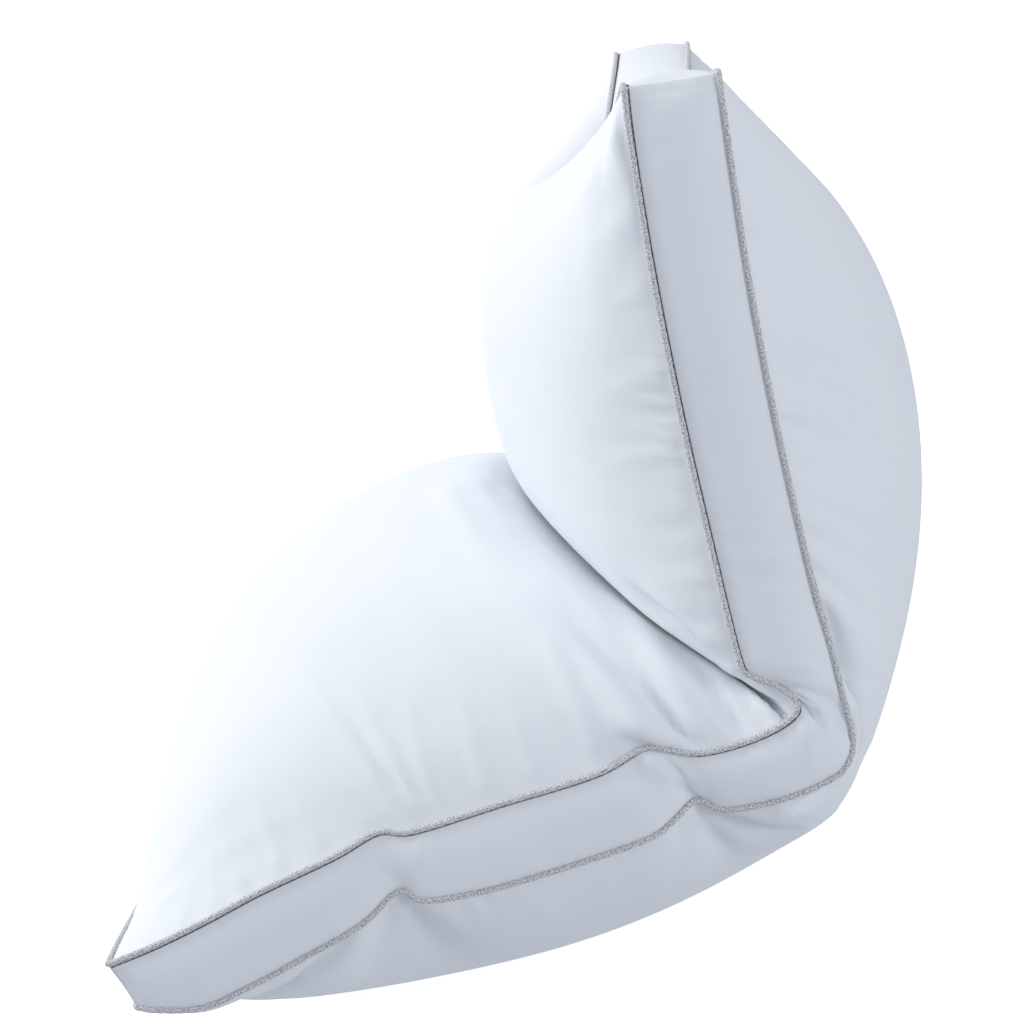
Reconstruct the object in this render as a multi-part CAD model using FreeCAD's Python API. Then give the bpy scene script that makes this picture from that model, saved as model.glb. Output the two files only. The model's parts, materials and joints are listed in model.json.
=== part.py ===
# Bed pillow with a gusset and piped seams, bent into an L: one half lies flat and the other
# stands up from it. Millimetres. +Z is up and the floor is z = 0. The lying half runs towards
# -X from the fold, the raised half stands at +X, and Y is the pillow's width.
# The origin is the centre of the whole pillow's box, on the floor.
import FreeCAD, Part
import math
import os

V = FreeCAD.Vector

# ---- driving dimensions -------------------------------------------------------------------
WIDTH = 410.0               # across the pillow, between the two long gusset walls
GUSSET = 40.0               # width of the gusset strip, from piping to piping
FOLD_HEIGHT = 90.0          # height of the fold axis, which is also the lower seam's at the fold
LYING_SLOPE = 4.8           # degrees that the lying half's seams run down towards its short end
LYING_LENGTH = 350.0        # from the fold axis to the lying half's short end
RAISED_LENGTH = 305.0       # from the fold axis to the raised half's short end
LYING_OVER = 139.0          # crown of the lying half above its lower seam
RAISED_UNDER = 77.0         # bulge of the raised half outside its lower seam
RAISED_OVER = 129.0         # crown of the raised half inside its lower seam
PINCH = 175.0               # how far from the fold axis the two halves press on each other
FOLD_RADIUS = 48.0          # radius of the fill that stays in the fold
CORNER_RADIUS = 14.0        # corner of the pillow's outline
CASING = 1.0                # casing fabric
TAPE_RADIUS = 2.5           # piping, outside its tape
CORD_RADIUS = 1.4           # filler cord inside the tape
THREAD_RADIUS = 0.35        # seam thread

# ---- clearances and construction sizes -----------------------------------------------------
FOLD_GAP = 0.4              # between pieces that move on each other at the fold
LAYER_GAP = 0.3             # between a layer and the next one inside it
GUSSET_JOIN = 45.0          # gusset strips are joined this far from a corner
TAPE_STANDS_OUT = TAPE_RADIUS + LAYER_GAP           # piping's centre line outside the gusset wall
FLAT_HALF_WIDTH = 110.0     # half the width of the flat of a half's lower panel
FLAT_FROM_END = 90.0        # the flat stops this far from the short end
FLAT_FROM_FOLD = 50.0       # and this far from the fold
ARCH_ABOVE_CROWN = 10.0     # the end profile's arch stands this much over the crown it meets
PRESSED_IN = 5.0            # how much of the lying half's belly the floor presses flat
OUTSIDE_AT_FOLD = FOLD_RADIUS + 6.0
TAPER_LENGTH = 60.0         # the fill in the fold tapers this far in from the gusset wall
TIP_INSIDE = 5.0            # and ends this far inside it
TIP_RADIUS = 14.0
CLOSING_LENGTH = 160.0      # the seam that was closed after filling
CROWN_AT = 0.62             # where a half is thickest, as a share of its length from the fold
LAYERS_LEAN = 0.3           # how much an inner layer's edge at the top of the press drops
REACH = 600.0               # larger than the pillow, for cutting tools

SLOPE = math.radians(LYING_SLOPE)
LYING_REACH = ((LYING_LENGTH + TAPE_STANDS_OUT) * math.cos(SLOPE) + GUSSET * math.sin(SLOPE)
               + TAPE_RADIUS)
FOLD_X = (LYING_REACH - RAISED_UNDER) / 2.0         # so that x = 0 is the middle of the pillow
LYING_DROP = (LYING_LENGTH - FLAT_FROM_END) * math.sin(SLOPE)
LYING_UNDER_FOLD = FOLD_HEIGHT - FLAT_FROM_FOLD * math.sin(SLOPE) + PRESSED_IN
LYING_UNDER_END = FOLD_HEIGHT - LYING_DROP + PRESSED_IN
HALF_ANGLE = (math.radians(90.0) + SLOPE) / 2.0     # from either half to the plane they press on


class Half:
    """One half of the pillow. u runs from the fold axis to the short end, v from the lower
    panel's seam towards the upper panel, and y across."""

    def __init__(self, name, length, under_fold, under_end, over, along, across):
        self.name = name
        self.length = length
        self.under_fold = under_fold
        self.under_end = under_end
        self.over = over
        self.along = along
        self.across = across

    def direction(self, u, y, v):
        return self.along * u + self.across * v + V(0, y, 0)

    def point(self, u, y, v):
        return V(FOLD_X, 0, FOLD_HEIGHT) + self.direction(u, y, v)


LYING = Half("lying", LYING_LENGTH, LYING_UNDER_FOLD, LYING_UNDER_END, LYING_OVER,
             along=V(-math.cos(SLOPE), 0, -math.sin(SLOPE)),
             across=V(-math.sin(SLOPE), 0, math.cos(SLOPE)))
RAISED = Half("raised", RAISED_LENGTH, RAISED_UNDER, RAISED_UNDER, RAISED_OVER,
              along=V(0, 0, 1), across=V(-1, 0, 0))


def outline(points):
    """A closed wire through the points: a pair of points makes a line, and a point in
    brackets is the middle of an arc."""
    edges = []
    at = points[0]
    middle = None
    for p in points[1:] + [points[0]]:
        if isinstance(p, list):
            middle = p[0]
            continue
        if middle is None:
            edges.append(Part.LineSegment(at, p).toShape())
        else:
            edges.append(Part.Arc(at, middle, p).toShape())
        at = p
        middle = None
    return Part.Wire(edges)


def slab(half, points, direction):
    """The outline of (u, y, v) points, some of them arc middles, extruded along direction."""
    placed = [[half.point(*p[0])] if isinstance(p, list) else half.point(*p) for p in points]
    return Part.Face(outline(placed)).extrude(half.direction(*direction))


def landing(edge, flat, depth):
    """The middle of the arc that comes down from (edge, 0) and meets the flat at
    (flat, -depth) with no corner."""
    run = edge - flat
    radius = (run * run + depth * depth) / (2.0 * depth)
    start = math.atan2(depth - radius, run)
    angle = 0.5 * (start - math.pi / 2.0)
    return flat + radius * math.cos(angle), radius - depth + radius * math.sin(angle)


def side_profile(half, inset):
    """What the half looks like from its long side. One edge lies on the plane where the two
    halves press on each other."""
    gap = FOLD_GAP / 2.0
    seam = (gap + inset) / math.sin(HALF_ANGLE)
    end = half.length - inset
    top = half.over - inset
    flat_end = half.length - FLAT_FROM_END
    turn_u, turn_v = landing(end, flat_end, half.under_end - inset)
    y = -WIDTH
    return slab(half, [
        (gap, y, -1.0),
        (gap + seam, y, 0.0),
        (PINCH * math.cos(HALF_ANGLE) + seam, y, PINCH * math.sin(HALF_ANGLE) - LAYERS_LEAN * inset),
        [(CROWN_AT * half.length, y, top)],
        (end, y, GUSSET),
        (end, y, 0.0),
        [(turn_u, y, turn_v)],
        (flat_end, y, inset - half.under_end),
        (FLAT_FROM_FOLD, y, inset - half.under_fold),
        (gap, y, inset - OUTSIDE_AT_FOLD),
    ], (0, 2 * WIDTH, 0))


def end_profile(half, inset):
    """What the half looks like from its short end: gusset walls, crowned above and below."""
    wall = WIDTH / 2.0 - inset
    top = half.over + ARCH_ABOVE_CROWN - inset
    depth = half.under_fold - inset
    turn_y, turn_v = landing(wall, FLAT_HALF_WIDTH, depth)
    u = -REACH / 4.0
    return slab(half, [
        (u, -wall, 0.0),
        (u, -wall, GUSSET),
        [(u, 0.0, top)],
        (u, wall, GUSSET),
        (u, wall, 0.0),
        [(u, turn_y, turn_v)],
        (u, FLAT_HALF_WIDTH, -depth),
        (u, -FLAT_HALF_WIDTH, -depth),
        [(u, -turn_y, turn_v)],
    ], (REACH, 0, 0))


def above_floor(inset):
    return Part.makeBox(2 * REACH, 2 * REACH, REACH, V(-REACH, -REACH, inset))


def corner_points(half, outset):
    """The outline of the half seen square to its panels: a U of (u, y) points from the fold
    round the short end and back. A point in brackets is the middle of a corner's arc."""
    wall = WIDTH / 2.0 + outset
    end = half.length + outset
    radius = CORNER_RADIUS + outset
    bend = radius * (1.0 - math.sqrt(0.5))
    return [
        (0.0, -wall), (end - radius, -wall), [(end - bend, -wall + bend)], (end, -wall + radius),
        (end, wall - radius), [(end - bend, wall - bend)], (end - radius, wall), (0.0, wall),
    ]


def plan_profile(half, inset):
    """What the half looks like square to its panels, run on past the fold."""
    points = corner_points(half, -inset)
    points[0] = (-REACH / 4.0, points[0][1])
    points[-1] = (-REACH / 4.0, points[-1][1])
    v = -REACH / 2.0
    placed = [[(p[0][0], p[0][1], v)] if isinstance(p, list) else (p[0], p[1], v) for p in points]
    return slab(half, placed, (0, 0, REACH))


def fold_spindle(radius):
    """The round body in the fold: a cylinder along the fold axis, tapered at both ends."""
    straight = WIDTH / 2.0 - TAPER_LENGTH
    tip_y = WIDTH / 2.0 - TIP_INSIDE
    tip = radius - FOLD_RADIUS + TIP_RADIUS
    body = Part.makeCylinder(radius, 2 * straight, V(FOLD_X, -straight, FOLD_HEIGHT), V(0, 1, 0))
    for side in (-1, 1):
        start = V(FOLD_X, side * straight, FOLD_HEIGHT)
        body = body.fuse(Part.makeCone(radius, tip, tip_y - straight, start, V(0, side, 0)))
    return body


def whole_half(half, inset):
    """The half as one solid, drawn in by the inset."""
    body = side_profile(half, inset).common(end_profile(half, inset))
    return body.common(plan_profile(half, inset)).common(above_floor(inset))


def fill(half):
    """The half's fibre, with a plain round hollow right across it for the fill in the fold."""
    hollow = Part.makeCylinder(FOLD_RADIUS, 2 * WIDTH, V(FOLD_X, -WIDTH, FOLD_HEIGHT), V(0, 1, 0))
    return whole_half(half, CASING + LAYER_GAP).cut(hollow)


def band(half, low, high, u_from=-REACH / 4.0, u_to=REACH, y_from=-REACH / 2.0, y_to=REACH / 2.0):
    """A box in the half's own directions."""
    return slab(half, [
        (u_from, y_from, low), (u_to, y_from, low), (u_to, y_to, low), (u_from, y_to, low),
    ], (0, 0, high - low))


def sector(half):
    """The space that a half's piping and thread may fill at the fold."""
    gap = FOLD_GAP / 2.0
    y = -REACH / 2.0
    return slab(half, [
        (gap, y, -REACH / 2.0), (REACH, y, -REACH / 2.0), (REACH, y, REACH),
        (2 * gap + REACH / math.tan(HALF_ANGLE), y, REACH), (2 * gap, y, 0.0), (gap, y, 0.0),
    ], (0, REACH, 0))


def seam_path(half, v, outset):
    """The wire that a piping or its thread follows round the half, at height v."""
    points = corner_points(half, outset)
    edges = []
    at = None
    middle = None
    for p in points:
        if isinstance(p, list):
            middle = half.point(p[0][0], p[0][1], v)
            continue
        here = half.point(p[0], p[1], v)
        if at is not None and middle is None:
            edges.append(Part.LineSegment(at, here).toShape())
        elif at is not None:
            edges.append(Part.Arc(at, middle, here).toShape())
        at = here
        middle = None
    return Part.Wire(edges)


def tube(half, v, radius, outset):
    """A round rope along the seam path."""
    path = seam_path(half, v, outset)
    start = half.point(0.0, -(WIDTH / 2.0 + outset), v)
    circle = Part.Wire(Part.makeCircle(radius, start, half.direction(1, 0, 0)))
    return path.makePipeShell([circle], True, False)


def panels_and_gussets(half, shell):
    """The shell divided along its seams into panels and gusset strips."""
    far = WIDTH / 2.0 - GUSSET_JOIN
    end = half.length - GUSSET_JOIN
    gap = LAYER_GAP / 2.0
    wall = shell.common(band(half, gap, GUSSET - gap))
    return {
        "upper_panel_" + half.name: shell.common(band(half, GUSSET + gap, REACH)),
        "lower_panel_" + half.name: shell.common(band(half, -REACH, -gap)),
        "gusset_near_" + half.name: wall.common(band(half, 0, GUSSET, u_to=end - gap, y_to=-far)),
        "gusset_far_" + half.name: wall.common(band(half, 0, GUSSET, u_to=end - gap, y_from=far)),
        "gusset_end_" + half.name: wall.common(band(half, 0, GUSSET, u_from=end + gap)),
    }


def piping(half):
    """Tape, filler cord and thread of both of the half's piped seams."""
    room = sector(half)
    nodes = {}
    for seam, v, away in (("upper", GUSSET, 1.0), ("lower", 0.0, -1.0)):
        tag = seam + "_" + half.name
        whole = tube(half, v, TAPE_RADIUS, TAPE_STANDS_OUT).common(room)
        cord = tube(half, v, CORD_RADIUS, TAPE_STANDS_OUT).common(room)
        bore = tube(half, v, CORD_RADIUS + LAYER_GAP, TAPE_STANDS_OUT).common(room)
        beside = v + away * (TAPE_RADIUS + THREAD_RADIUS + LAYER_GAP)
        thread = tube(half, beside, THREAD_RADIUS, TAPE_STANDS_OUT / 2.0).common(room)
        nodes["piping_tape_" + tag] = whole.cut(bore)
        nodes["piping_cord_" + tag] = cord
        nodes["seam_thread_" + tag] = thread
    return nodes


def half_nodes(half):
    spindle = fold_spindle(FOLD_RADIUS)
    shell = whole_half(half, 0.0).cut(spindle).cut(whole_half(half, CASING))
    nodes = panels_and_gussets(half, shell)
    nodes.update(piping(half))
    nodes["fill_" + half.name] = fill(half)
    return nodes


def fold_nodes():
    """The casing and fill that stay in the fold while the raised half turns about them."""
    casing_outside = FOLD_RADIUS - FOLD_GAP
    casing = fold_spindle(casing_outside).cut(fold_spindle(casing_outside - CASING))
    return {
        "casing_fold": casing,
        "fill_fold": fold_spindle(casing_outside - CASING - LAYER_GAP),
    }


def closing_seam():
    """The run of thread that closed the casing after filling, on the far gusset wall."""
    length_from = 0.5 * (LYING_LENGTH - CLOSING_LENGTH)
    y = WIDTH / 2.0 + THREAD_RADIUS + LAYER_GAP
    start = LYING.point(length_from, y, 0.5 * GUSSET)
    return Part.makeCylinder(THREAD_RADIUS, CLOSING_LENGTH, start, LYING.direction(1, 0, 0))


def main():
    nodes = {}
    nodes.update(half_nodes(LYING))
    nodes.update(half_nodes(RAISED))
    nodes.update(fold_nodes())
    nodes["closing_seam"] = closing_seam()
    os.makedirs("parts", exist_ok=True)
    for name, shape in nodes.items():
        solid = shape.Solids[0] if len(shape.Solids) == 1 else Part.makeCompound(shape.Solids)
        solid.exportStep(os.path.join("parts", name + ".step"))
        box = solid.BoundBox
        print(name, len(solid.Solids), "solids", round(solid.Volume / 1000.0, 2), "cm3",
              "valid" if solid.isValid() else "INVALID",
              [round(n, 1) for n in (box.XMin, box.XMax, box.YMin, box.YMax, box.ZMin, box.ZMax)])


main()
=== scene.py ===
"""A gusseted bed pillow folded into an L: one half lies on the floor, the other stands against its crown."""

import json
import math

import bpy
import numpy as np
from mathutils import Matrix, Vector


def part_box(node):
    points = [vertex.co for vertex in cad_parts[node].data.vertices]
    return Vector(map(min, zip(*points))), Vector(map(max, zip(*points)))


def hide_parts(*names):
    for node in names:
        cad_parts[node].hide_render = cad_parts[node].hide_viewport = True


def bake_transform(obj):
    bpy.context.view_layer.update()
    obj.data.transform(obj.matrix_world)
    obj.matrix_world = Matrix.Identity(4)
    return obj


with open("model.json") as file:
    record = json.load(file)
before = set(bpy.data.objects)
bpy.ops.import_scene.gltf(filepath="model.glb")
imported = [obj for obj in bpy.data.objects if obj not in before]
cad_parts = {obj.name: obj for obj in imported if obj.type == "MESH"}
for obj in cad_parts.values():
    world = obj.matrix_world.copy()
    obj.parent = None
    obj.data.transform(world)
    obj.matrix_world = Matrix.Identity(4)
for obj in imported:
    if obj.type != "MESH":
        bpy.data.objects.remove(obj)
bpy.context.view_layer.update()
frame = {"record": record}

MM = 0.001
SEED = 7

# Hinge line of the fold: it runs along Y at this x and z.
FOLD_X, _, FOLD_Z = frame["record"]["behaviour"]["joints"][0]["pos_m"]

# ---------------------------------------------------------------- seams
# Seam lines of the long sides, near and far alike, from the lying corner to the raised corner.
# Each point is (x, z, inward) in mm: x and z from the hinge line, inward towards the middle of the pillow.
HALF_WIDTH = 205 * MM

UPPER_SEAM = (
    (-350, -15, 0), (-326, -11, 0), (-300, -5, 0), (-274, 2, 0), (-237, 10, 0), (-215, 16, 2),
    (-200, 13, 0), (-158, 16, 0), (-114, 19, 0), (-90, 25, 3), (-77, 21, 1), (-66, 17.5, -1),
    (-45, 18, -2), (-27, 22, -2), (-19, 28, -1), (-24, 38, 0), (-36, 47, 0), (-39.5, 55, 0),
    (-39.5, 105, 0), (-38.5, 165, 0), (-36, 222, 0), (-33, 264, 0), (-30, 294, 0), (-28, 309, 0),
)
UPPER_SEAM_TURNS_AT = 14

LOWER_SEAM = (
    (-343, -36, 0), (-334, -40, 0), (-314, -44, 0), (-292, -40, 0), (-266, -33, 0), (-233, -23, 0),
    (-213, -12, 2), (-203, -19, 0), (-174, -21, 0), (-136, -19, 0), (-98, -15, 0), (-85, -10, 3),
    (-73, -4, 6), (-62, -11, 3), (-36, -11, -2), (-13, -7, -2), (-4, -1, -1), (0, 10, 0), (0, 38, 0),
    (-1, 90, 0), (0, 154, 0), (3, 215, 0), (7, 263, 0), (11, 305, 0),
)
LOWER_SEAM_TURNS_AT = 16

# The middle line of each panel before it is inflated, from end seam to end seam.
UPPER_MIDDLE = (
    (-325, -10), (-318, 30), (-285, 88), (-230, 120), (-175, 131), (-128, 122), (-85, 88), (-62, 64),
    (-86, 90), (-112, 130), (-122, 175), (-122, 222), (-95, 252), (-50, 261),
)
UPPER_MIDDLE_TURNS_AT = 7

LOWER_MIDDLE = (
    (-320, -35), (-298, -68), (-250, -88), (-180, -89), (-100, -89), (-45, -80), (10, -50),
    (45, -10), (64, 50), (74, 115), (66, 190), (46, 240), (22, 268), (0, 281),
)
LOWER_MIDDLE_TURNS_AT = 6

# How far each end seam is drawn in at its middle, as (x, z) in mm from its corners.
END_SAG = {
    "upper": {"lying": (8, 3), "raised": (-22, -48)},
    "lower": {"lying": (8, 1), "raised": (-11, -24)},
}

# Cloth of each panel between its seams, in metres: along each half, and across at even places along it.
CUT = {
    "upper": {"along": (0.362, 0.268), "across": (0.418, 0.480, 0.490, 0.466, 0.446, 0.442, 0.426)},
    "lower": {"along": (0.352, 0.336), "across": (0.440, 0.446, 0.444, 0.438, 0.440, 0.416, 0.409)},
}
# Cloth gathered into the side seams: ease everywhere, and more at each (place, reach, share) along it.
# A negative share is cloth trimmed away, which keeps the panel smooth next to the lying corners.
GATHER_EASE = 0.006
GATHERS = {
    "upper": ((0.13, 0.10, -0.14), (0.44, 0.06, 0.08), (0.60, 0.05, 0.05), (0.78, 0.06, 0.04)),
    "lower": ((0.24, 0.05, 0.05), (0.46, 0.06, 0.07), (0.62, 0.05, 0.06), (0.80, 0.05, 0.05)),
}
GUSSET_HEIGHT = 40 * MM
GUSSET_CLOTH = 44 * MM
SEAM_HOLDS = 8 * MM
GUSSET_EASE = 1.002
GUSSET_EASE_AT_FOLD = 0.05

# The crease is a plane through the hinge line, this far off it, with the halves pressed together on it.
CREASE_ANGLE = math.radians(137.5)
CREASE_OFFSET = 2 * MM
CREASE_GAP = 1.2 * MM
LYING_SHARE = 0.53
FLOOR_GAP = 1 * MM

CREASE_NORMAL = np.array([math.sin(CREASE_ANGLE), -math.cos(CREASE_ANGLE)])


def smooth_line(points, count):
    """count points evenly spaced along a smooth line through the given ones."""
    given = np.array(points, float)
    padded = np.vstack([2 * given[0] - given[1], given, 2 * given[-1] - given[-2]])
    t = np.linspace(0, 1, 12, endpoint=False)[:, None]
    pieces = []
    for k in range(1, len(padded) - 2):
        a, b, c, d = padded[k - 1:k + 3]
        squared = (2 * a - 5 * b + 4 * c - d) * t**2
        cubed = (3 * b - a - 3 * c + d) * t**3
        pieces.append(0.5 * (2 * b + (c - a) * t + squared + cubed))
    return evenly(np.vstack(pieces + [padded[-2][None]]), count)


def evenly(line, count):
    """count points evenly spaced along a dense line."""
    steps = np.linalg.norm(np.diff(line, axis=0), axis=1)
    travelled = np.concatenate([[0], np.cumsum(steps)])
    wanted = np.linspace(0, travelled[-1], count)
    return np.stack([np.interp(wanted, travelled, line[:, c]) for c in range(line.shape[1])], 1)


def halves_line(points, turns_at, cells):
    """cells + 1 points along the line in metres; the lying half gets its fixed share of the cells."""
    dense = smooth_line(points, 2001)
    turn = int(np.argmin(np.linalg.norm(dense - np.array(points[turns_at]), axis=1)))
    lying = lying_cells(cells)
    first = evenly(dense[:turn + 1], lying + 1)
    second = evenly(dense[turn:], cells - lying + 1)
    return np.vstack([first[:-1], second]) * MM


def lying_cells(cells):
    return int(round(LYING_SHARE * cells))


# ---------------------------------------------------------------- casing
class Casing:
    """The closed casing as a net: two panels of along x across cells, joined by a gusset of high cells."""

    STRETCH, SHEAR, BEND = 1.0, 0.35, 0.15

    def __init__(self, along, across, high):
        self.along, self.across, self.high = along, across, high
        in_panel = (along + 1) * (across + 1)
        self.upper = np.arange(in_panel).reshape(along + 1, across + 1)
        self.lower = self.upper + in_panel
        self.upper_ring = self.ring(self.upper)
        self.lower_ring = self.ring(self.lower)
        around = len(self.upper_ring)
        self.gusset = np.zeros((around, high + 1), int)
        self.gusset[:, 0] = self.lower_ring
        self.gusset[:, high] = self.upper_ring
        self.gusset[:, 1:high] = 2 * in_panel + np.arange(around * (high - 1)).reshape(around, high - 1)
        self.count = 2 * in_panel + around * (high - 1)
        self.upper_quads = self.quads_of(self.upper)
        self.lower_quads = self.quads_of(self.lower)[:, ::-1]
        self.gusset_quads = self.quads_of(np.vstack([self.gusset, self.gusset[:1]]))
        self.quads = np.vstack([self.upper_quads, self.lower_quads, self.gusset_quads])
        self.flat = self.seamed()
        self.links = self.make_links()

    @staticmethod
    def ring(grid):
        return np.concatenate([grid[:-1, 0], grid[-1, :-1], grid[:0:-1, -1], grid[0, :0:-1]])

    @staticmethod
    def quads_of(grid):
        return np.stack([grid[:-1, :-1], grid[1:, :-1], grid[1:, 1:], grid[:-1, 1:]], -1).reshape(-1, 4)

    def seamed(self):
        """Every point before inflating: seams where they end up, panels softly domed, gusset flat."""
        points = np.zeros((self.count, 3))
        across = np.linspace(-1, 1, self.across + 1)
        dome = (1 - np.abs(across)**2.6)**0.75
        sag = (1 + np.cos(math.pi * across)) / 2
        for name, grid, seam, seam_turn, middle, middle_turn in (
            ("upper", self.upper, UPPER_SEAM, UPPER_SEAM_TURNS_AT, UPPER_MIDDLE, UPPER_MIDDLE_TURNS_AT),
            ("lower", self.lower, LOWER_SEAM, LOWER_SEAM_TURNS_AT, LOWER_MIDDLE, LOWER_MIDDLE_TURNS_AT),
        ):
            side = halves_line(seam, seam_turn, self.along)
            mid = halves_line(middle, middle_turn, self.along)
            profile = side[:, None, :2] + (mid - side[:, :2])[:, None] * dome[None, :, None]
            for row, half in ((0, "lying"), (-1, "raised")):
                profile[row] = side[row, :2] + sag[:, None] * np.array(END_SAG[name][half]) * MM
            points[grid, 0] = profile[..., 0] + FOLD_X
            points[grid, 2] = profile[..., 1] + FOLD_Z
            points[grid, 1] = across[None] * (HALF_WIDTH - side[:, 2:3])
        for k in range(1, self.high):
            share = k / self.high
            low, high = points[self.lower_ring], points[self.upper_ring]
            points[self.gusset[:, k]] = low * (1 - share) + high * share
        return points

    def seam_points(self):
        return np.concatenate([self.upper_ring, self.lower_ring])

    def make_links(self):
        """Links between points as groups with no shared point: (first, second, rest length, stiffness)."""
        found = []

        def link(a, b, rest, stiffness):
            a, b = np.ravel(a), np.ravel(b)
            rest = np.broadcast_to(rest, a.shape).astype(float)
            found.append((a, b, rest, np.full(a.shape, stiffness)))

        lying = lying_cells(self.along)
        in_lying = np.arange(self.along) < lying
        place = np.linspace(0, 1, self.along + 1)
        fullness = 1 - np.abs(np.linspace(-1, 1, self.across + 1))[None]**3
        for name, grid in (("upper", self.upper), ("lower", self.lower)):
            cut = CUT[name]
            lying_cut, raised_cut = cut["along"]
            middle_cells = np.where(in_lying, lying_cut / lying, raised_cut / (self.along - lying))
            seam = self.flat[grid[:, 0]]
            seam_cells = np.linalg.norm(np.diff(seam, axis=0), axis=1) * (1 + self.gathers(name, place[1:]))
            long_cells = seam_cells[:, None] + (middle_cells - seam_cells)[:, None] * fullness
            cut_places = np.linspace(0, 1, len(cut["across"]))
            wide_cells = np.interp(place, cut_places, cut["across"]) / self.across
            wide_cells = np.repeat(wide_cells, self.across).reshape(-1, self.across)
            long_side = (long_cells[:, 1:] + long_cells[:, :-1]) / 2
            wide_side = (wide_cells[1:] + wide_cells[:-1]) / 2
            diagonal = np.hypot(long_side, wide_side).ravel()
            link(grid[:-1], grid[1:], long_cells.ravel(), self.STRETCH)
            link(grid[:, :-1], grid[:, 1:], wide_cells.ravel(), self.STRETCH)
            link(grid[:-1, :-1], grid[1:, 1:], diagonal, self.SHEAR)
            link(grid[1:, :-1], grid[:-1, 1:], diagonal, self.SHEAR)
            link(grid[:-2], grid[2:], (long_cells[1:] + long_cells[:-1]).ravel(), self.BEND)
            link(grid[:, :-2], grid[:, 2:], (wide_cells[:, 1:] + wide_cells[:, :-1]).ravel(), self.BEND)

        ring_place = self.flat[self.upper_ring]
        from_fold = np.hypot(ring_place[:, 0] - FOLD_X, ring_place[:, 2] - FOLD_Z)
        ease = GUSSET_EASE + GUSSET_EASE_AT_FOLD * np.exp(-(from_fold / 0.06)**2)
        following = np.roll(self.gusset, -1, axis=0)

        def gusset_link(a, b, stiffness):
            link(a, b, np.linalg.norm(self.flat[a] - self.flat[b], axis=1) * ease, stiffness)

        for k in range(self.high):
            gusset_link(self.gusset[:, k], self.gusset[:, k + 1], self.STRETCH)
            gusset_link(self.gusset[:, k], following[:, k + 1], self.SHEAR)
            gusset_link(following[:, k], self.gusset[:, k + 1], self.SHEAR)
        for k in range(1, self.high):
            gusset_link(self.gusset[:, k], following[:, k], self.STRETCH)
            gusset_link(self.gusset[:, k], np.roll(self.gusset, -2, axis=0)[:, k], self.BEND)
            gusset_link(self.gusset[:, k - 1], self.gusset[:, k + 1], self.BEND)
        return self.grouped(*[np.concatenate(column) for column in zip(*found)])

    @staticmethod
    def gathers(name, place):
        """Extra cloth along the side seams, as a share, at each place from lying end to raised end."""
        extra = np.full(place.shape, GATHER_EASE)
        for middle, reach, share in GATHERS[name]:
            extra += share * np.exp(-((place - middle) / reach)**2)
        return extra

    def grouped(self, a, b, rest, stiffness):
        """Splits the links into groups that can each be solved in one go."""
        taken = [0] * self.count
        group = np.zeros(len(a), int)
        for i, (p, q) in enumerate(zip(a.tolist(), b.tolist())):
            both = taken[p] | taken[q]
            free = (~both & (both + 1)).bit_length() - 1
            group[i] = free
            taken[p] |= 1 << free
            taken[q] |= 1 << free
        return [(a[m], b[m], rest[m], stiffness[m]) for m in (group == g for g in range(group.max() + 1))]

    def normals(self, points):
        """Outward normal at each point, as long as the cloth around the point is wide."""
        corner = points[self.quads]
        face = np.cross(corner[:, 2] - corner[:, 0], corner[:, 3] - corner[:, 1]) / 2
        weights = [np.repeat(face[:, c] / 4, 4) for c in range(3)]
        return np.stack([np.bincount(self.quads.ravel(), w, self.count) for w in weights], 1)

    def unit_normals(self, points):
        normals = self.normals(points)
        return normals / np.linalg.norm(normals, axis=1)[:, None]

    @staticmethod
    def off_crease(points, which):
        """How far the chosen points are off the crease plane, towards the raised half."""
        across_x = (points[which, 0] - FOLD_X) * CREASE_NORMAL[0]
        across_z = (points[which, 2] - FOLD_Z) * CREASE_NORMAL[1]
        return across_x + across_z - CREASE_OFFSET

    @staticmethod
    def push_off_crease(points, which, distance):
        points[which, 0] += distance * CREASE_NORMAL[0]
        points[which, 2] += distance * CREASE_NORMAL[1]

    def press_crease(self, points, lying, raised, on_crease):
        """Keeps each half on its own side of the crease and the row between them on it."""
        lying_over = np.maximum(self.off_crease(points, lying) + CREASE_GAP, 0)
        self.push_off_crease(points, lying, -lying_over)
        raised_under = np.maximum(CREASE_GAP - self.off_crease(points, raised), 0)
        self.push_off_crease(points, raised, raised_under)
        self.push_off_crease(points, on_crease, -self.off_crease(points, on_crease))

    def inflate(self, points, steps, passes, push, damping=0.92):
        """Blows the casing up against its own cloth, over the floor, with seams held and crease pressed."""
        points = points.copy()
        held = self.seam_points()
        points[held] = self.flat[held]
        free = np.ones(self.count)
        free[held] = 0
        groups = []
        for a, b, rest, stiffness in self.links:
            share = stiffness / np.maximum(free[a] + free[b], 1e-9)
            groups.append((a, b, rest, share, free[a][:, None], free[b][:, None]))
        crease = lying_cells(self.along)
        lying = self.upper[:crease, 1:-1].ravel()
        raised = self.upper[crease + 1:, 1:-1].ravel()
        on_crease = self.upper[crease, 1:-1]
        cell_area = sum(CUT["upper"]["along"]) * CUT["upper"]["across"][0] / (self.along * self.across)
        speed = np.zeros_like(points)
        for _ in range(steps):
            before = points
            blown = self.normals(points) * (push / cell_area) * free[:, None]
            points = points + speed * damping + blown
            for _ in range(passes):
                for a, b, rest, share, free_a, free_b in groups:
                    gap = points[b] - points[a]
                    length = np.sqrt(np.einsum("ij,ij->i", gap, gap))
                    gap *= (share * (length - rest) / length)[:, None]
                    points[a] += gap * free_a
                    points[b] -= gap * free_b
                self.press_crease(points, lying, raised, on_crease)
                np.maximum(points[:, 2], FLOOR_GAP, out=points[:, 2])
            speed = points - before
        return points

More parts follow.
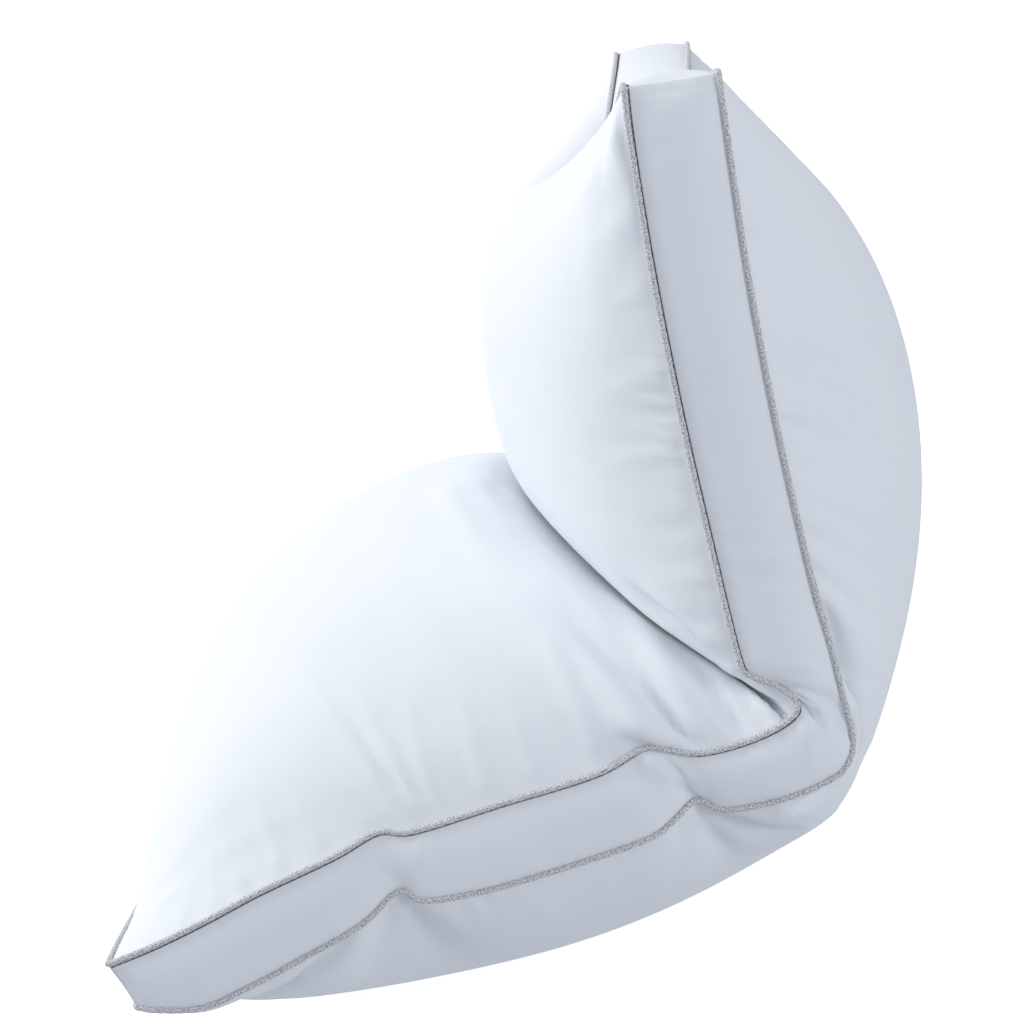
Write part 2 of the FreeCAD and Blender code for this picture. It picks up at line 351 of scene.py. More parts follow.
    def from_coarser(self, coarse, points):
        """The points of a net half as fine, spread over this one."""
        finer = np.zeros((self.count, 3))
        closed = np.vstack([coarse.gusset, coarse.gusset[:1]])
        finer[self.gusset] = self.doubled(points[closed])[:-1]
        finer[self.upper] = self.doubled(points[coarse.upper])
        finer[self.lower] = self.doubled(points[coarse.lower])
        return finer

    @staticmethod
    def doubled(grid):
        rows = np.zeros((2 * grid.shape[0] - 1, grid.shape[1], 3))
        rows[::2] = grid
        rows[1::2] = (grid[1:] + grid[:-1]) / 2
        full = np.zeros((rows.shape[0], 2 * grid.shape[1] - 1, 3))
        full[:, ::2] = rows
        full[:, 1::2] = (rows[:, 1:] + rows[:, :-1]) / 2
        return full


# Each round: cells along, across and high, then steps, passes per step, push and crumple in metres.
ROUNDS = (
    (30, 20, 2, 130, 10, 0.0005, 0.0),
    (60, 40, 4, 60, 10, 0.00025, 0.0008),
    (120, 80, 8, 40, 8, 0.0001, 0.0004),
    (240, 160, 16, 22, 6, 0.00003, 0.0001),
)


def inflated():
    """The casing's finest net, and its points blown up through the rounds."""
    rounds = ROUNDS
    random = np.random.default_rng(SEED)
    casing = points = None
    for along, across, high, steps, passes, push, crumple in rounds:
        finer = Casing(along, across, high)
        points = finer.flat if casing is None else finer.from_coarser(casing, points)
        points = points + random.normal(0, 1, points.shape) * crumple
        casing = finer
        points = casing.inflate(points, steps, passes, push)
    return casing, points


# The upper panel is drawn smooth beside the lying corners, around a place along it and in from the side seam.
# All are shares of the panel.
IRON_ALONG, IRON_REACH, IRON_DEPTH = 0.14, 0.11, 0.17
IRON_PASSES = 160


def ironed(casing, points):
    """The points with the folds beside the lying corners smoothed out."""
    along = np.linspace(0, 1, casing.along + 1)[:, None]
    across = np.linspace(0, 1, casing.across + 1)[None]
    depth = np.minimum(across, 1 - across)
    weight = np.exp(-((along - IRON_ALONG) / IRON_REACH)**2 - (depth / IRON_DEPTH)**2)[1:-1, 1:-1, None]
    panel = points[casing.upper]
    finest = ROUNDS[-1][0]
    for _ in range(round(IRON_PASSES * (casing.along / finest)**2)):
        around = (panel[:-2, 1:-1] + panel[2:, 1:-1] + panel[1:-1, :-2] + panel[1:-1, 2:]) / 4
        panel[1:-1, 1:-1] += (around - panel[1:-1, 1:-1]) * weight
    smoothed = points.copy()
    smoothed[casing.upper] = panel
    return smoothed


casing, points = inflated()
points = ironed(casing, points)

# ---------------------------------------------------------------- puckers and wrinkles
# Gathers that run in from each seam and die out: spacing and height in metres.
PUCKER_REACH = 26 * MM
PUCKER_HEIGHT = 0.30 * MM
PUCKER_SPACINGS = (15 * MM, 26 * MM, 41 * MM)

# Wrinkles near the viewer, each a ridge between shallow troughs:
# (along, across) where it is deepest, (along, across) where it fades out, height in mm, width in mm.
# Along runs from lying end to raised end, across from near side to far side, as shares of the piece.
WRINKLES = {
    "upper": (
        (0.243, 0.01, 0.218, 0.26, 2.2, 5), (0.252, 0.01, 0.255, 0.18, 1.8, 4),
        (0.230, 0.01, 0.195, 0.16, 1.3, 5), (0.262, 0.01, 0.285, 0.14, 1.2, 4),
        (0.246, 0.04, 0.236, 0.20, -1.3, 4), (0.215, 0.01, 0.200, 0.11, 1.0, 5),
        (0.300, 0.01, 0.318, 0.13, 1.2, 5), (0.335, 0.01, 0.345, 0.11, 0.9, 5),
        (0.358, 0.42, 0.378, 0.15, 1.8, 9), (0.383, 0.01, 0.387, 0.20, 2.0, 6),
        (0.395, 0.45, 0.404, 0.20, -1.4, 9), (0.418, 0.01, 0.392, 0.22, 2.4, 7),
        (0.440, 0.01, 0.430, 0.22, -1.6, 7), (0.458, 0.01, 0.448, 0.20, 2.4, 7),
        (0.485, 0.01, 0.470, 0.12, -1.4, 5), (0.508, 0.01, 0.490, 0.10, 1.6, 4),
        (0.300, 0.30, 0.322, 0.14, 0.9, 8), (0.575, 0.01, 0.548, 0.09, 1.6, 4),
        (0.142, 0.01, 0.160, 0.14, 1.2, 5), (0.175, 0.01, 0.180, 0.12, 1.0, 5),
        (0.113, 0.01, 0.112, 0.13, 1.4, 5), (0.060, 0.01, 0.075, 0.07, 1.2, 4),
        (0.090, 0.01, 0.098, 0.10, 1.2, 4), (0.605, 0.01, 0.600, 0.12, 0.8, 6),
        (0.650, 0.01, 0.640, 0.10, 0.7, 6), (0.690, 0.01, 0.680, 0.09, -0.6, 6),
        (0.745, 0.01, 0.730, 0.12, 0.9, 6), (0.770, 0.01, 0.765, 0.08, -0.6, 5),
        (0.800, 0.01, 0.780, 0.11, 0.8, 7), (0.860, 0.01, 0.840, 0.08, 0.5, 6),
        (0.930, 0.01, 0.885, 0.12, -0.9, 9), (0.970, 0.01, 0.900, 0.16, 1.4, 10),
    ),
    "lower": (
        (0.830, 0.01, 0.780, 0.20, 1.6, 6), (0.800, 0.01, 0.735, 0.24, -1.3, 7),
        (0.775, 0.01, 0.710, 0.26, 1.8, 6), (0.720, 0.01, 0.670, 0.20, 1.4, 6),
        (0.660, 0.01, 0.610, 0.22, 1.7, 7), (0.600, 0.01, 0.575, 0.16, -1.3, 7),
        (0.900, 0.01, 0.870, 0.12, 0.9, 6), (0.700, 0.05, 0.640, 0.24, -1.2, 7),
        (0.570, 0.01, 0.540, 0.18, 1.3, 6), (0.200, 0.01, 0.225, 0.14, 1.5, 8),
        (0.417, 0.01, 0.445, 0.12, 2.2, 8), (0.440, 0.01, 0.470, 0.09, -1.4, 7),
        (0.280, 0.01, 0.300, 0.09, 0.6, 8), (0.350, 0.01, 0.360, 0.08, -0.5, 8),
        (0.100, 0.01, 0.130, 0.10, 0.6, 8),
    ),
    "gusset": (
        (0.408, 0.98, 0.428, 0.05, 2.4, 6), (0.392, 0.95, 0.402, 0.10, -1.6, 7),
        (0.245, 0.98, 0.215, 0.10, 1.2, 6), (0.525, 0.98, 0.505, 0.15, 1.5, 4),
        (0.535, 0.98, 0.530, 0.20, -1.2, 3), (0.545, 0.98, 0.555, 0.15, 1.3, 4),
        (0.485, 0.95, 0.475, 0.30, 0.7, 6), (0.675, 0.10, 0.665, 0.90, 1.0, 4),
        (0.655, 0.15, 0.650, 0.85, -0.7, 5), (0.780, 0.10, 0.770, 0.80, 0.4, 5),
        (0.870, 0.20, 0.860, 0.90, 0.5, 5), (0.955, 0.15, 0.940, 0.90, 0.8, 5),
        (0.150, 0.10, 0.170, 0.80, 0.5, 6), (0.310, 0.15, 0.330, 0.85, -0.5, 6),
        (0.050, 0.10, 0.070, 0.80, 0.5, 6),
    ),
}
CHANCE_WRINKLES = 44
CHANCE_LENGTH, CHANCE_WIDTH, CHANCE_HEIGHT = (0.07, 0.24), (6.0, 12.0), (0.3, 0.9)


def pucker_wave(places, random):
    """An uneven wave along a seam, between about -1 and 1."""
    wave = np.zeros_like(places)
    for spacing in PUCKER_SPACINGS:
        drift = random.uniform(0, 2 * math.pi, 3)
        slow = np.sin(places / (4.3 * spacing) + drift[0])
        quick = np.sin(places / (2.1 * spacing) + drift[1])
        wobble = 0.6 * slow + 0.4 * quick
        strength = np.maximum(0.3 + 0.7 * wobble, 0)
        wave += np.sin(2 * math.pi * places / spacing + 5 * wobble + drift[2]) * strength
    return wave / len(PUCKER_SPACINGS)


def gathers(along, across, long_cut, wide_cut, random):
    """Height of the gathers of a panel at each place on it."""
    height = np.zeros_like(along)
    seams = ((across, along), (wide_cut - across, along), (along, across), (long_cut - along, across))
    for depth, place in seams:
        rise = (depth / PUCKER_REACH) * np.exp(1 - depth / PUCKER_REACH * 1.6)
        height += rise * pucker_wave(place, random) * PUCKER_HEIGHT
    return height


def wrinkle(along, across, start, end, height, width):
    """Height of one wrinkle, which is deepest just after its start and fades towards its end."""
    start, end = np.array(start), np.array(end)
    step = end - start
    share = ((along - start[0]) * step[0] + (across - start[1]) * step[1]) / (step @ step)
    held = np.clip(share, 0, 1)
    off = np.hypot(along - start[0] - held * step[0], across - start[1] - held * step[1]) / width
    fade = np.clip(share / 0.15 + 0.4, 0, 1) * np.clip(1 - share, 0, 1)
    return height * fade * (1 - off**2) * np.exp(-off**2)


def chance_wrinkles(random):
    """Soft wrinkles all round a panel, running in from its seams, in shares of the panel."""
    for _ in range(CHANCE_WRINKLES):
        place, slant = random.uniform(0.04, 0.96), random.uniform(-0.06, 0.06)
        length, width = random.uniform(*CHANCE_LENGTH), random.uniform(*CHANCE_WIDTH)
        height = random.uniform(*CHANCE_HEIGHT) * random.choice((-1.0, 1.0))
        side = random.integers(4)
        if side == 0:
            yield (0.01, place, length, place + slant, height, width)
        elif side == 1:
            yield (0.99, place, 1 - length, place + slant, height, width)
        elif side == 2:
            yield (place, 0.99, place + slant, 1 - length, height, width)
        else:
            yield (place, 0.01, place + slant, length * 0.7, height * 0.6, width)


def wrinkled(casing, points):
    """The points with gathers along the seams, and wrinkles over panels and gusset."""
    random = np.random.default_rng(SEED + 1)
    normals = casing.unit_normals(points)
    shifted = points.copy()
    near_gusset = casing.gusset[:casing.along + 1]
    for name, grid in (("upper", casing.upper), ("lower", casing.lower), ("gusset", near_gusset)):
        in_panel = name in CUT
        long_cut = sum(CUT[name if in_panel else "lower"]["along"])
        wide_cut = np.mean(CUT[name]["across"]) if in_panel else GUSSET_HEIGHT
        along, across = np.meshgrid(
            np.linspace(0, long_cut, grid.shape[0]), np.linspace(0, wide_cut, grid.shape[1]), indexing="ij")
        height = gathers(along, across, long_cut, wide_cut, random) if in_panel else np.zeros_like(along)
        strokes = list(WRINKLES[name]) + (list(chance_wrinkles(random)) if in_panel else [])
        for along_0, across_0, along_1, across_1, rise, width in strokes:
            start = (along_0 * long_cut, across_0 * wide_cut)
            end = (along_1 * long_cut, across_1 * wide_cut)
            height += wrinkle(along, across, start, end, rise * MM, width * MM)
        to_seam = np.minimum(across, wide_cut - across)
        if in_panel:
            to_seam = np.minimum(to_seam, np.minimum(along, long_cut - along))
        height *= np.clip(to_seam / SEAM_HOLDS, 0, 1)
        shifted[grid] += normals[grid] * height[..., None]
    shifted[:, 2] = np.maximum(shifted[:, 2], FLOOR_GAP)
    return shifted


points = wrinkled(casing, points)

# ---------------------------------------------------------------- materials


def socket(node, name, value):
    node.inputs[name].default_value = value


def new_material(name, roughness, sheen, specular=0.3):
    material = bpy.data.materials.new(name)
    material.use_nodes = True
    nodes, links = material.node_tree.nodes, material.node_tree.links
    surface = nodes["Principled BSDF"]
    socket(surface, "Roughness", roughness)
    socket(surface, "Sheen Weight", sheen)
    socket(surface, "Sheen Roughness", 0.5)
    socket(surface, "Specular IOR Level", specular)
    return material, nodes, links, surface


def noise(nodes, links, vector, scale, detail=3.0):
    texture = nodes.new("ShaderNodeTexNoise")
    socket(texture, "Scale", scale)
    socket(texture, "Detail", detail)
    links.new(vector, texture.inputs["Vector"])
    return texture.outputs["Fac"]


def ramp(nodes, links, value, stops):
    """A colour ramp from (position, colour) stops."""
    node = nodes.new("ShaderNodeValToRGB")
    elements = node.color_ramp.elements
    while len(elements) < len(stops):
        elements.new(1.0)
    for element, (position, colour) in zip(elements, stops):
        element.position = position
        element.color = (*colour, 1.0)
    links.new(value, node.inputs["Fac"])
    return node.outputs["Color"]


def bump(nodes, links, height, distance, strength=1.0, under=None):
    node = nodes.new("ShaderNodeBump")
    socket(node, "Distance", distance)
    socket(node, "Strength", strength)
    links.new(height, node.inputs["Height"])
    if under is not None:
        links.new(under, node.inputs["Normal"])
    return node.outputs["Normal"]


def arithmetic(nodes, links, operation, first, second):
    node = nodes.new("ShaderNodeMath")
    node.operation = operation
    for index, value in enumerate((first, second)):
        if isinstance(value, (int, float)):
            node.inputs[index].default_value = value
        else:
            links.new(value, node.inputs[index])
    return node.outputs["Value"]


def weave(nodes, links, metres, thread_pitch):
    """Height of a plain weave whose threads run along both directions of the map."""
    height = None
    for direction in ("X", "Y"):
        wave = nodes.new("ShaderNodeTexWave")
        wave.bands_direction = direction
        socket(wave, "Scale", 1 / thread_pitch / 3.2)
        socket(wave, "Distortion", 0.6)
        socket(wave, "Detail", 1.0)
        links.new(metres, wave.inputs["Vector"])
        height = wave.outputs["Fac"] if height is None else arithmetic(
            nodes, links, "MAXIMUM", height, wave.outputs["Fac"])
    return height


THREAD_PITCH = 0.35 * MM
WHITE_COTTON = (0.84, 0.865, 0.90)
WHITE_COTTON_DEEP = (0.81, 0.838, 0.88)


def cotton(name, crumple=1.0):
    """White percale: fine weave, soft crumples, slight unevenness in colour and roughness."""
    material, nodes, links, surface = new_material(name, 0.85, 0.12)
    metres = nodes.new("ShaderNodeUVMap").outputs["UV"]
    cloudy = noise(nodes, links, metres, 9.0)
    white = ramp(nodes, links, cloudy, ((0.3, WHITE_COTTON_DEEP), (0.65, WHITE_COTTON)))
    links.new(white, surface.inputs["Base Color"])
    rough = arithmetic(nodes, links, "MULTIPLY_ADD", noise(nodes, links, metres, 40.0), 0.15)
    rough.node.inputs[2].default_value = 0.76
    links.new(rough, surface.inputs["Roughness"])
    broad = bump(nodes, links, noise(nodes, links, metres, 14.0, 2.0), 2.2 * MM * crumple)
    creased = bump(nodes, links, noise(nodes, links, metres, 60.0, 3.0), 0.35 * MM * crumple, under=broad)
    woven = bump(nodes, links, weave(nodes, links, metres, THREAD_PITCH), 0.04 * MM, 0.5, under=creased)
    links.new(woven, surface.inputs["Normal"])
    return material


def knitted_cord(name):
    """Grey melange: light yarn flecked with darker fibres."""
    material, nodes, links, surface = new_material(name, 0.8, 0.2)
    metres = nodes.new("ShaderNodeUVMap").outputs["UV"]
    flecks = noise(nodes, links, metres, 1200.0, 2.0)
    colour = ramp(nodes, links, flecks, (
        (0.30, (0.20, 0.207, 0.218)),
        (0.42, (0.42, 0.428, 0.44)),
        (0.52, (0.63, 0.638, 0.65)),
        (0.66, (0.84, 0.845, 0.85)),
    ))
    links.new(colour, surface.inputs["Base Color"])
    links.new(bump(nodes, links, flecks, 0.35 * MM), surface.inputs["Normal"])
    return material


def plain_yarn(name, light, dark, scale):
    material, nodes, links, surface = new_material(name, 0.75, 0.1)
    metres = nodes.new("ShaderNodeUVMap").outputs["UV"]
    fibres = noise(nodes, links, metres, scale, 2.0)
    links.new(ramp(nodes, links, fibres, ((0.35, dark), (0.65, light))), surface.inputs["Base Color"])
    links.new(bump(nodes, links, fibres, 0.1 * MM), surface.inputs["Normal"])
    return material


CASING = cotton("casing_cotton")
GUSSET_CASING = cotton("gusset_cotton", crumple=0.6)
PIPING = knitted_cord("piping_knit")
CORD = plain_yarn("filler_cord_cotton", (0.80, 0.79, 0.76), (0.62, 0.61, 0.58), 700.0)
# The seam thread is real stitching, but its near-black colour is partly painted shade: it stands in for the
# shadow line under each piping.
DARK_THREAD_PAINTED_SHADOW = plain_yarn("grey_thread", (0.10, 0.105, 0.115), (0.05, 0.053, 0.06), 1500.0)
WHITE_THREAD = plain_yarn("white_thread", (0.80, 0.81, 0.83), (0.62, 0.63, 0.66), 1500.0)
FILL = plain_yarn("fibre_fill", (0.90, 0.90, 0.90), (0.80, 0.80, 0.80), 120.0)


def mesh_piece(name, points, quads, quad_maps, material, slot, stands_for):
    """A shown piece that stands for CAD nodes, which it hides.

    quad_maps holds the place of each quad's corners on the material's map, in metres.
    """
    used, numbered = np.unique(quads, return_inverse=True)
    mesh = bpy.data.meshes.new(name)
    mesh.from_pydata(points[used].tolist(), [], numbered.reshape(quads.shape).tolist())
    mesh.polygons.foreach_set("use_smooth", [True] * len(mesh.polygons))
    layer = mesh.uv_layers.new(name="metres")
    layer.data.foreach_set("uv", quad_maps.astype(np.float32).ravel())
    mesh.materials.append(material)
    piece = bpy.data.objects.new(name, mesh)
    bpy.context.scene.collection.objects.link(piece)
    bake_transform(piece)
    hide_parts(*stands_for)
    return piece


def grid_maps(rows, columns, row_step, column_step):
    """Map places of the four corners of every cell of a grid."""
    row_places, column_places = np.arange(rows) * row_step, np.arange(columns) * column_step
    place = np.stack(np.meshgrid(row_places, column_places, indexing="ij"), -1)
    return np.stack([place[:-1, :-1], place[1:, :-1], place[1:, 1:], place[:-1, 1:]], 2).reshape(-1, 4, 2)


long_cell = sum(CUT["upper"]["along"]) / casing.along
wide_cell = CUT["upper"]["across"][0] / casing.across
high_cell = GUSSET_CLOTH / casing.high
panel_maps = grid_maps(casing.along + 1, casing.across + 1, long_cell, wide_cell)
ring_maps = grid_maps(len(casing.gusset) + 1, casing.high + 1, long_cell, high_cell)

upper_panel = mesh_piece("casing_upper", points, casing.upper_quads, panel_maps, CASING, "casing",
                         ("upper_panel_lying", "upper_panel_raised"))
lower_panel = mesh_piece("casing_lower", points, casing.lower_quads, panel_maps[:, ::-1], CASING, "casing",
                         ("lower_panel_lying", "lower_panel_raised", "casing_fold"))
HALVES = ("lying", "raised")
gusset_nodes = [f"gusset_{side}_{half}" for side in ("near", "far", "end") for half in HALVES]
gusset = mesh_piece("casing_gusset", points, casing.gusset_quads, ring_maps, GUSSET_CASING, "casing",
                    gusset_nodes)

# The filling: the casing's own shape, drawn in by the wadding's clearance.
FILL_CLEARANCE = 5 * MM
unit_normals = casing.unit_normals(points)
fill_points = points - unit_normals * FILL_CLEARANCE
fill_maps = np.concatenate([panel_maps, panel_maps[:, ::-1], ring_maps])
filling = mesh_piece("fill", fill_points, casing.quads, fill_maps, FILL, "fill",
                     ("fill_lying", "fill_fold", "fill_raised"))

# ---------------------------------------------------------------- piping, cord and thread
PIPING_RADIUS = 1.4 * MM
CORD_RADIUS = 1.0 * MM
THREAD_RADIUS = 0.30 * MM
PIPING_PROUD = 0.9 * MM
THREAD_BESIDE = 1.5 * MM
YARN_PITCH = 5.5 * MM
YARNS = 3
YARN_RELIEF = 0.09
RING_STEP = 1.1 * MM
# The stitches overlap, so the near-black seam thread reads as one unbroken painted shadow line.
STITCH_LENGTH, STITCH_OVERLAP = 3.6 * MM, 0.3 * MM
SLIP_STITCH, SLIP_GAP = 4 * MM, 2 * MM
PIPING_SIDES, CORD_SIDES, THREAD_SIDES = 16, 8, 8


def unit(vectors):
    return vectors / np.maximum(np.linalg.norm(vectors, axis=-1, keepdims=True), 1e-12)


def seam_frame(ring, beside):
    """A closed seam as (points, outward directions, directions to the cloth beside it)."""
    seam = points[ring]
    to_cloth = unit(points[beside] - seam)
    outward = unit(unit_normals[ring])
    for _ in range(6):
        to_cloth = unit(np.roll(to_cloth, 1, 0) + 2 * to_cloth + np.roll(to_cloth, -1, 0))
        outward = unit(np.roll(outward, 1, 0) + 2 * outward + np.roll(outward, -1, 0))
    return seam, outward, to_cloth


def just_inside(grid):
    """For each point of a panel's edge ring, the nearest point of the panel that is off its edge."""
    rows, columns = (np.clip(np.arange(count), 1, count - 2) for count in grid.shape)
    return Casing.ring(grid[rows][:, columns])


def closed_resampled(columns, step):
    """Closed lines given point for point, sampled evenly and smoothly at about step along the first."""
    first = columns[0]
    wrapped = np.vstack([first, first[:1]])
    travelled = np.concatenate([[0], np.cumsum(np.linalg.norm(np.diff(wrapped, axis=0), axis=1))])
    count = int(round(travelled[-1] / step))
    wanted = np.arange(count) * travelled[-1] / count
    sampled = []
    for column in columns:
        closed = np.vstack([column, column[:1]])
        line = np.stack([np.interp(wanted, travelled, closed[:, c]) for c in range(3)], 1)
        for _ in range(3):
            line = (np.roll(line, 1, 0) + 2 * line + np.roll(line, -1, 0)) / 4
        sampled.append(line)
    return sampled, travelled[-1]


def rope(line, outward, radius, length, sides, relief):
    """Points, quads and maps of a closed rope along line, with the relief of its twisted yarns."""
    tangent = unit(np.roll(line, -1, 0) - np.roll(line, 1, 0))
    first = unit(outward - tangent * np.sum(outward * tangent, 1)[:, None])
    second = np.cross(tangent, first)
    around = np.linspace(0, 2 * math.pi, sides, endpoint=False)
    travelled = np.arange(len(line)) * length / len(line)
    turns = round(length / YARN_PITCH)
    twist = YARNS * (around[None] + travelled[:, None] * 2 * math.pi * turns / length / YARNS)
    swell = radius * (1 - relief + relief * np.abs(np.sin(twist / 2 + math.pi / 4)) * 2 - relief)
    ring = line[:, None] + swell[..., None] * (
        first[:, None] * np.cos(around)[None, :, None] + second[:, None] * np.sin(around)[None, :, None])
    numbers = np.arange(len(line) * sides).reshape(len(line), sides)
    wrapped = np.vstack([numbers, numbers[:1]])
    wrapped = np.hstack([wrapped, wrapped[:, :1]])
    maps = grid_maps(len(line) + 1, sides + 1, length / len(line), 2 * math.pi * radius / sides)
    return ring.reshape(-1, 3), Casing.quads_of(wrapped), maps


def stitches(line, outward, radius, stitch_length, gap):
    """Points, quads and maps of short rounded stitches along an open or closed line."""
    travelled = np.concatenate([[0], np.cumsum(np.linalg.norm(np.diff(line, axis=0), axis=1))])
    starts = np.arange(0, travelled[-1] - stitch_length, stitch_length + gap)
    # Each stitch is five rings: places along it, thickness and depth into the cloth as shares of the radius.
    stages = np.array([0.0, 0.12, 0.5, 0.88, 1.0])
    thickness = np.array([0.25, 0.85, 1.0, 0.85, 0.25])
    depth = np.array([0.9, 0.25, 0.0, 0.25, 0.9])
    sides = THREAD_SIDES
    places = (starts[:, None] + stages[None] * stitch_length).ravel()
    centre = np.stack([np.interp(places, travelled, line[:, c]) for c in range(3)], 1)
    out = unit(np.stack([np.interp(places, travelled, outward[:, c]) for c in range(3)], 1))
    centre = centre.reshape(len(starts), len(stages), 3)
    out = out.reshape(centre.shape)
    tangent = unit(centre[:, -1:] - centre[:, :1]) * np.ones_like(centre)
    first = unit(out - tangent * np.sum(out * tangent, -1, keepdims=True))
    second = np.cross(tangent, first)
    centre = centre - first * (depth * radius)[None, :, None]
    around = np.linspace(0, 2 * math.pi, sides, endpoint=False)
    ring = centre[:, :, None] + (thickness * radius)[None, :, None, None] * (
        first[:, :, None] * np.cos(around)[:, None] + second[:, :, None] * np.sin(around)[:, None])
    numbers = np.arange(ring.size // 3).reshape(len(starts), len(stages), sides)
    wrapped = np.concatenate([numbers, numbers[..., :1]], -1)
    quads = np.concatenate([Casing.quads_of(one) for one in wrapped])
    cell_maps = grid_maps(len(stages), sides + 1, stitch_length / 4, 2 * math.pi * radius / sides)
    shift = np.zeros((len(starts), 1, 1, 2))
    shift[..., 0, 0, 0] = starts
    caps = np.concatenate([numbers[:, 0, ::-1], numbers[:, -1]])
    cap_quads = np.concatenate([caps[:, [0, 1, 2, 3]], caps[:, [0, 3, 4, 7]], caps[:, [4, 5, 6, 7]]])
    maps = (cell_maps[None] + shift).reshape(-1, 4, 2)
    cap_maps = np.zeros((len(cap_quads), 4, 2))
    return ring.reshape(-1, 3), np.vstack([quads, cap_quads]), np.vstack([maps, cap_maps])


# The stitches show under the upper piping, on the gusset, and under the lower piping, on the lower panel.
# Their near-black thread is real stitching and also painted shade: the dark shadow line that falls along the
# underside of each piping.
for side, ring, sewn_to in (
    ("upper", casing.upper_ring, casing.gusset[:, casing.high - 1]),
    ("lower", casing.lower_ring, just_inside(casing.lower)),
):
    (seam, outward, to_cloth), length = closed_resampled(seam_frame(ring, sewn_to), RING_STEP)
    centre = seam + unit(outward) * PIPING_PROUD
    tape = rope(centre, outward, PIPING_RADIUS, length, PIPING_SIDES, YARN_RELIEF)
    mesh_piece(f"piping_{side}", *tape, PIPING, "piping", [f"piping_tape_{side}_{half}" for half in HALVES])
    cord = rope(centre, outward, CORD_RADIUS, length, CORD_SIDES, 0.0)
    mesh_piece(f"cord_{side}", *cord, CORD, "cord", [f"piping_cord_{side}_{half}" for half in HALVES])
    beside = seam + unit(outward) * THREAD_RADIUS + unit(to_cloth) * THREAD_BESIDE
    beside = np.vstack([beside, beside[:1]])
    out = np.vstack([outward, outward[:1]])
    sewn = stitches(beside, out, THREAD_RADIUS, STITCH_LENGTH, -STITCH_OVERLAP)
    mesh_piece(f"thread_{side}", *sewn, DARK_THREAD_PAINTED_SHADOW, "thread", [f"seam_thread_{side}_{half}" for half in HALVES])

# The hand-sewn closing: slip stitches along the middle of the far gusset.
closing_low, closing_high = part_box("closing_seam")
closing_line = points[casing.gusset[:, casing.high // 2]]
on_far_side = closing_line[:, 1] > HALF_WIDTH - 20 * MM
low_down = closing_line[:, 2] < closing_high[2] + 30 * MM
in_span = (closing_line[:, 0] > closing_low[0]) & (closing_line[:, 0] < closing_high[0])
chosen = on_far_side & low_down & in_span
closing_out = unit_normals[casing.gusset[:, casing.high // 2]][chosen]
closing_thread = closing_line[chosen] + closing_out * THREAD_RADIUS * 0.6
closing = stitches(closing_thread, closing_out, THREAD_RADIUS, SLIP_STITCH, SLIP_GAP)
mesh_piece("closing_stitches", *closing, WHITE_THREAD, "thread", ("closing_seam",))

# ---------------------------------------------------------------- floor, light and camera


def plain(name, colour, roughness, glow):
    material = bpy.data.materials.new(name)
    material.use_nodes = True
    surface = material.node_tree.nodes["Principled BSDF"]
    socket(surface, "Base Color", (*colour, 1.0))
    socket(surface, "Roughness", roughness)
    socket(surface, "Specular IOR Level", 0.1)
    socket(surface, "Emission Color", (*colour, 1.0))
    socket(surface, "Emission Strength", glow)
    return material


FLOOR_RADIUS, CORNER_RADIUS, WALL_HEIGHT = 30.0, 4.0, 24.0
SWEEP_SIDES = 72


def studio_sweep():
    """A round white floor that curves up into a wall on every side."""
    corner = [(FLOOR_RADIUS + CORNER_RADIUS * math.sin(a), CORNER_RADIUS * (1 - math.cos(a)))
              for a in np.linspace(0, math.pi / 2, 13)]
    profile = [*corner, (FLOOR_RADIUS + CORNER_RADIUS, WALL_HEIGHT)]
    around = np.linspace(0, 2 * math.pi, SWEEP_SIDES, endpoint=False)
    places = [(out * math.cos(a), out * math.sin(a), up) for out, up in profile for a in around]
    numbers = np.arange(len(places)).reshape(len(profile), SWEEP_SIDES)
    faces = Casing.quads_of(np.hstack([numbers, numbers[:, :1]])).tolist()
    mesh = bpy.data.meshes.new("sweep")
    mesh.from_pydata(places, [], [numbers[0].tolist(), *faces])
    mesh.materials.append(plain("sweep_white", (0.93, 0.93, 0.93), 0.9, 0.62))
    sweep = bpy.data.objects.new("sweep", mesh)
    bpy.context.scene.collection.objects.link(sweep)
    sweep.visible_diffuse = False
    sweep.visible_shadow = False
    return sweep


def placed(x_axis, y_axis, z_axis, place):
    """The matrix that puts an object at a place, turned to these axes."""
    rows = np.stack([x_axis, y_axis, z_axis, place], 1).tolist()
    return Matrix([*rows, [0, 0, 0, 1]])


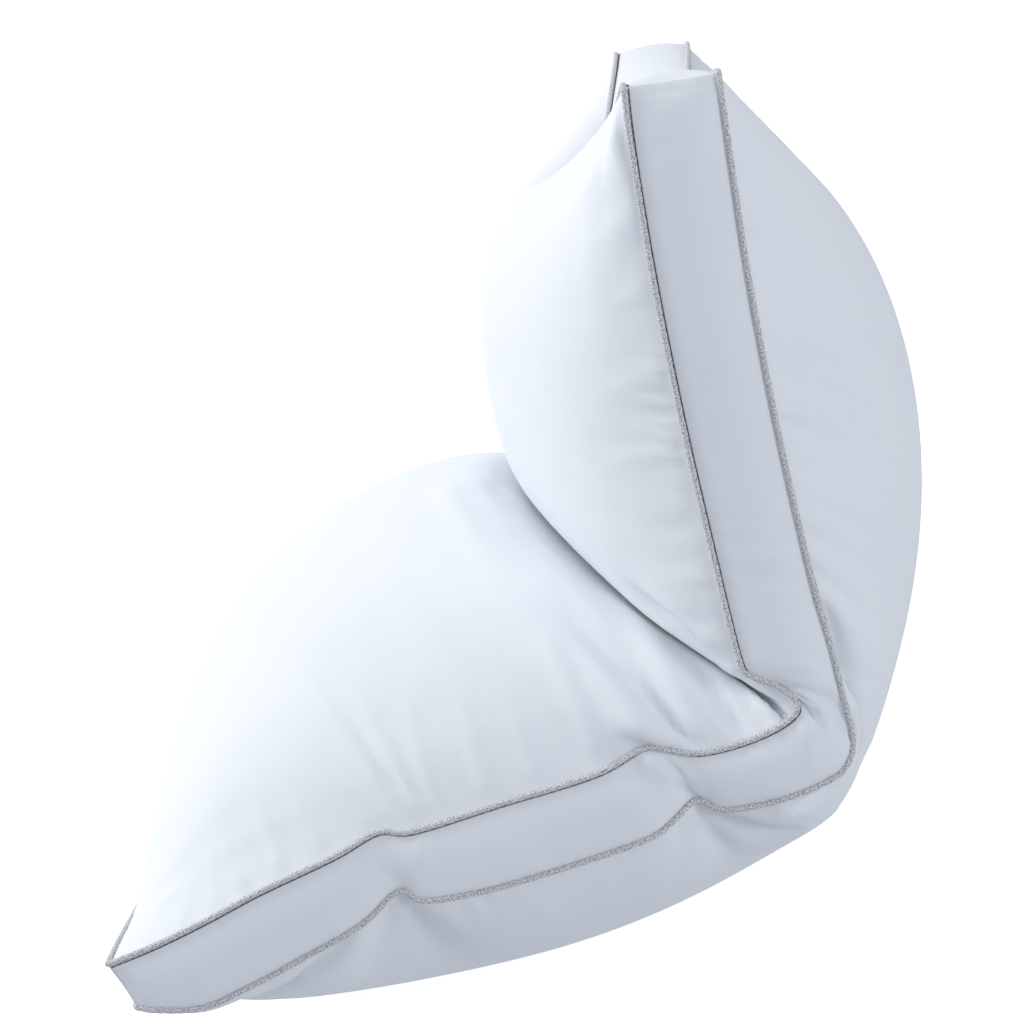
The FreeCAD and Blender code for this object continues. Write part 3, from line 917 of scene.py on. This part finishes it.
def area_light(name, place, aim, size, power, colour):
    data = bpy.data.lights.new(name, "AREA")
    data.shape = "DISK"
    data.size = size
    data.energy = power
    data.color = colour
    lamp = bpy.data.objects.new(name, data)
    away = unit(np.array(place, float) - np.array(aim, float))
    side = unit(np.cross((0.0, 0.0, 1.0), away))
    up = np.cross(away, side)
    lamp.matrix_world = placed(side, up, away, place)
    lamp.visible_camera = False
    bpy.context.scene.collection.objects.link(lamp)
    return lamp


studio_sweep()
PILLOW_MIDDLE = (0.0, 0.0, 0.2)
KEY_DIRECTION, KEY_DISTANCE = (-0.70, 0.08, 0.70), 3.5
key_place = tuple(middle + step * KEY_DISTANCE for middle, step in zip(PILLOW_MIDDLE, KEY_DIRECTION))
area_light("key", key_place, PILLOW_MIDDLE, 1.8, 92.0, (1.0, 1.0, 0.99))
area_light("side", (2.5, -2.3, 0.65), PILLOW_MIDDLE, 1.2, 27.0, (0.98, 0.99, 1.0))

world = bpy.data.worlds.new("studio")
world.use_nodes = True
socket(world.node_tree.nodes["Background"], "Color", (0.857, 0.906, 1.0, 1.0))
socket(world.node_tree.nodes["Background"], "Strength", 0.549)
bpy.context.scene.world = world

CAMERA_PLACE = (FOLD_X - 0.028, -1.403, FOLD_Z + 0.364)
CAMERA_AZIMUTH, CAMERA_DOWN, CAMERA_ROLL = (math.radians(a) for a in (4.4, 10.4, -14.7))
LENS_MM, SENSOR_MM = 98.4, 36.0


def photo_camera():
    ahead = np.array([-math.sin(CAMERA_AZIMUTH) * math.cos(CAMERA_DOWN),
                      math.cos(CAMERA_AZIMUTH) * math.cos(CAMERA_DOWN), -math.sin(CAMERA_DOWN)])
    level = unit(np.cross(ahead, (0.0, 0.0, 1.0)))
    upright = np.cross(level, ahead)
    right = level * math.cos(CAMERA_ROLL) + upright * math.sin(CAMERA_ROLL)
    up = -level * math.sin(CAMERA_ROLL) + upright * math.cos(CAMERA_ROLL)
    data = bpy.data.cameras.new("photo_camera")
    data.lens = LENS_MM
    data.sensor_width = SENSOR_MM
    camera = bpy.data.objects.new("photo_camera", data)
    camera.matrix_world = placed(right, up, -ahead, CAMERA_PLACE)
    bpy.context.scene.collection.objects.link(camera)
    return camera


bpy.context.scene.camera = photo_camera()
bpy.context.scene.view_settings.view_transform = "Standard"
